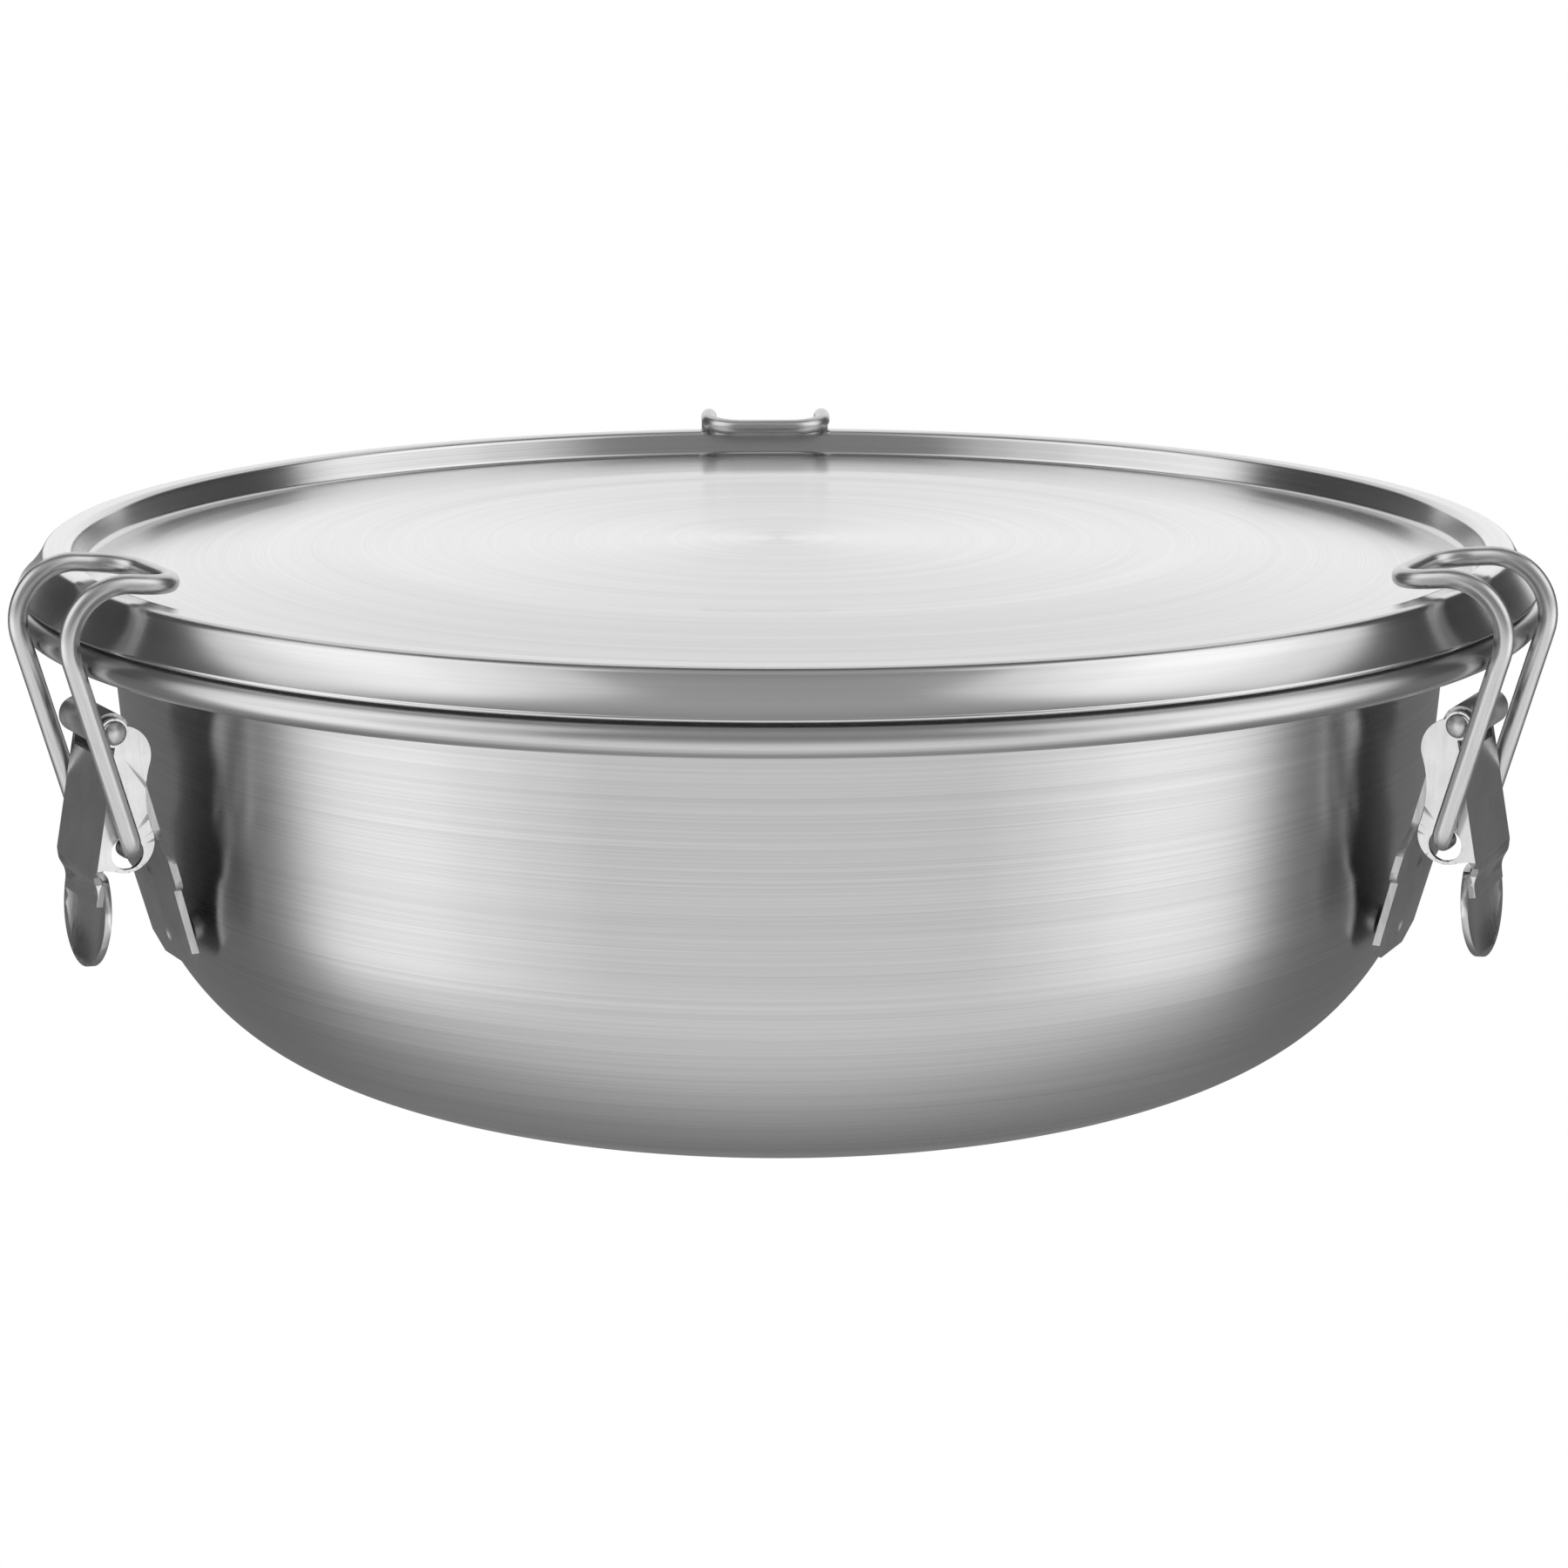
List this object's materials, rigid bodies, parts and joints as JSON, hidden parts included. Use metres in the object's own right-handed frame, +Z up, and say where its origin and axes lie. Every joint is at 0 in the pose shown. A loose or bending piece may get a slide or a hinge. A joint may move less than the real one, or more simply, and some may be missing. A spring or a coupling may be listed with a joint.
{
  "type": "lunch box",
  "caption": "Round stainless steel lunch box: bowl with rolled rim, recessed lid with hidden seal ring, held shut by over-centre wire clips whose bails hook over the lid.",
  "frame": {"origin": "centre of the bowl's flat underside, on the bowl's axis", "axes": "+Z up along the bowl's axis through the lid; +Y towards the rear clip; +X to the right, so the other two clips stand at front left and front right"},
  "size_m": [0.1764, 0.1788, 0.0614],
  "materials": {
    "bowl_steel": "satin, brushed around the wall",
    "lid_steel": "fine spun satin",
    "clip_plate_steel": "satin pressed sheet",
    "polished_steel": "polished wire",
    "silicone": "translucent matte"
  },
  "bodies": {
    "bowl": {"bowl": "bowl_steel", "rear_bracket": "clip_plate_steel", "rear_hinge_pin": "polished_steel", "left_bracket": "clip_plate_steel", "left_hinge_pin": "polished_steel", "right_bracket": "clip_plate_steel", "right_hinge_pin": "polished_steel"},
    "lid": {"lid": "lid_steel", "lid_gasket": "silicone"},
    "rear_lever": {"rear_lever": "clip_plate_steel"},
    "rear_bail": {"rear_bail": "polished_steel"},
    "left_lever": {"left_lever": "clip_plate_steel"},
    "left_bail": {"left_bail": "polished_steel"},
    "right_lever": {"right_lever": "clip_plate_steel"},
    "right_bail": {"right_bail": "polished_steel"}
  },
  "joints": [
    {"name": "lid_lift", "type": "slide", "parent": "bowl", "child": "lid", "axis": [0, 0, 1], "range_m": [0, 0.008]},
    {"name": "rear_lever_open", "type": "hinge", "parent": "bowl", "child": "rear_lever", "pos_m": [0, 0.0846, 0.0445], "axis": [1, 0, 0], "range_deg": [0, 100]},
    {"name": "rear_bail_swing", "type": "hinge", "parent": "rear_lever", "child": "rear_bail", "pos_m": [0, 0.0837, 0.032], "axis": [-1, 0, 0], "range_deg": [0, 260]},
    {"name": "left_lever_open", "type": "hinge", "parent": "bowl", "child": "left_lever", "pos_m": [-0.07327, -0.0423, 0.0445], "axis": [-0.5, 0.866, 0], "range_deg": [0, 100]},
    {"name": "left_bail_swing", "type": "hinge", "parent": "left_lever", "child": "left_bail", "pos_m": [-0.07249, -0.04185, 0.032], "axis": [0.5, -0.866, 0], "range_deg": [0, 260]},
    {"name": "right_lever_open", "type": "hinge", "parent": "bowl", "child": "right_lever", "pos_m": [0.07327, -0.0423, 0.0445], "axis": [-0.5, -0.866, 0], "range_deg": [0, 100]},
    {"name": "right_bail_swing", "type": "hinge", "parent": "right_lever", "child": "right_bail", "pos_m": [0.07249, -0.04185, 0.032], "axis": [0.5, 0.866, 0], "range_deg": [0, 260]}
  ],
  "couplings": [
    {"joint": "rear_lever_open", "follows": "lid_lift", "rad_per_m": 218.15},
    {"joint": "rear_bail_swing", "follows": "lid_lift", "rad_per_m": 567.18},
    {"joint": "left_lever_open", "follows": "lid_lift", "rad_per_m": 218.15},
    {"joint": "left_bail_swing", "follows": "lid_lift", "rad_per_m": 567.18},
    {"joint": "right_lever_open", "follows": "lid_lift", "rad_per_m": 218.15},
    {"joint": "right_bail_swing", "follows": "lid_lift", "rad_per_m": 567.18}
  ]
}
